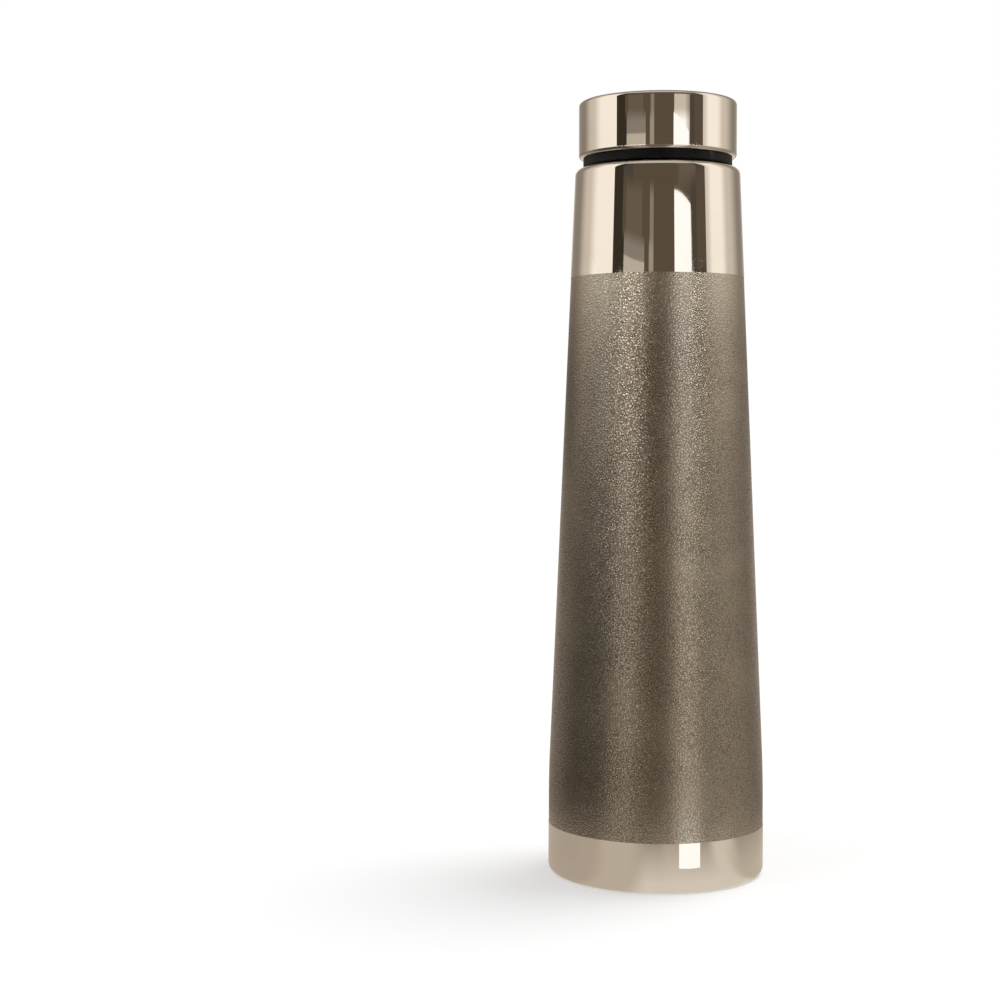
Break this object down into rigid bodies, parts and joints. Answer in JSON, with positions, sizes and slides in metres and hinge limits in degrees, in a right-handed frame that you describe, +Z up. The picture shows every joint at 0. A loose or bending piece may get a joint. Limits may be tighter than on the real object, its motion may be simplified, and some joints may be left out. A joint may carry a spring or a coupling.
{
  "type": "rosewater sprinkler bottle",
  "caption": "Tapered steel sprinkler bottle: etched body between bright bands, threaded neck, pierced rose in a soft plug, and a screw cap over both.",
  "frame": {"origin": "middle of the ring that the bottle stands on, on its axis", "axes": "+Z up along the bottle's axis, from its base to its cap; X and Y are level, the thread's first start begins on +X"},
  "size_m": [0.073, 0.073, 0.26],
  "materials": {
    "etched_steel": "fine etched grain between mirror-bright bands",
    "bright_steel": "mirror polished, warm tone",
    "satin_steel": "satin, as drawn and turned",
    "black_plastic": "moulded, low gloss",
    "soft_seal": "moulded rubber",
    "clear_seal": "milky moulded rubber"
  },
  "bodies": {
    "bottle": {"body_shell": "etched_steel", "base_cup": "satin_steel", "neck_ring": "satin_steel"},
    "rose": {"rose_plate": "satin_steel", "rose_plug": "soft_seal"},
    "gasket": {"cap_gasket": "clear_seal"},
    "cap": {"cap_shell": "bright_steel", "cap_liner": "black_plastic"}
  },
  "joints": [
    {"name": "cap_turn", "type": "hinge", "parent": "gasket", "child": "cap", "pos_m": [0, 0, 0.2488], "axis": [0, 0, 1], "range_deg": [0, 1800]},
    {"name": "cap_rise", "type": "slide", "parent": "bottle", "child": "gasket", "axis": [0, 0, 1], "range_m": [0, 0.0402]},
    {"name": "rose_pull", "type": "slide", "parent": "bottle", "child": "rose", "axis": [0, 0, 1], "range_m": [0, 0.0222]}
  ],
  "couplings": [
    {"joint": "cap_rise", "follows": "cap_turn", "m_per_rad": 0.0012732},
    {"joint": "rose_pull", "follows": "cap_turn", "m_per_rad": 0.00070028}
  ]
}
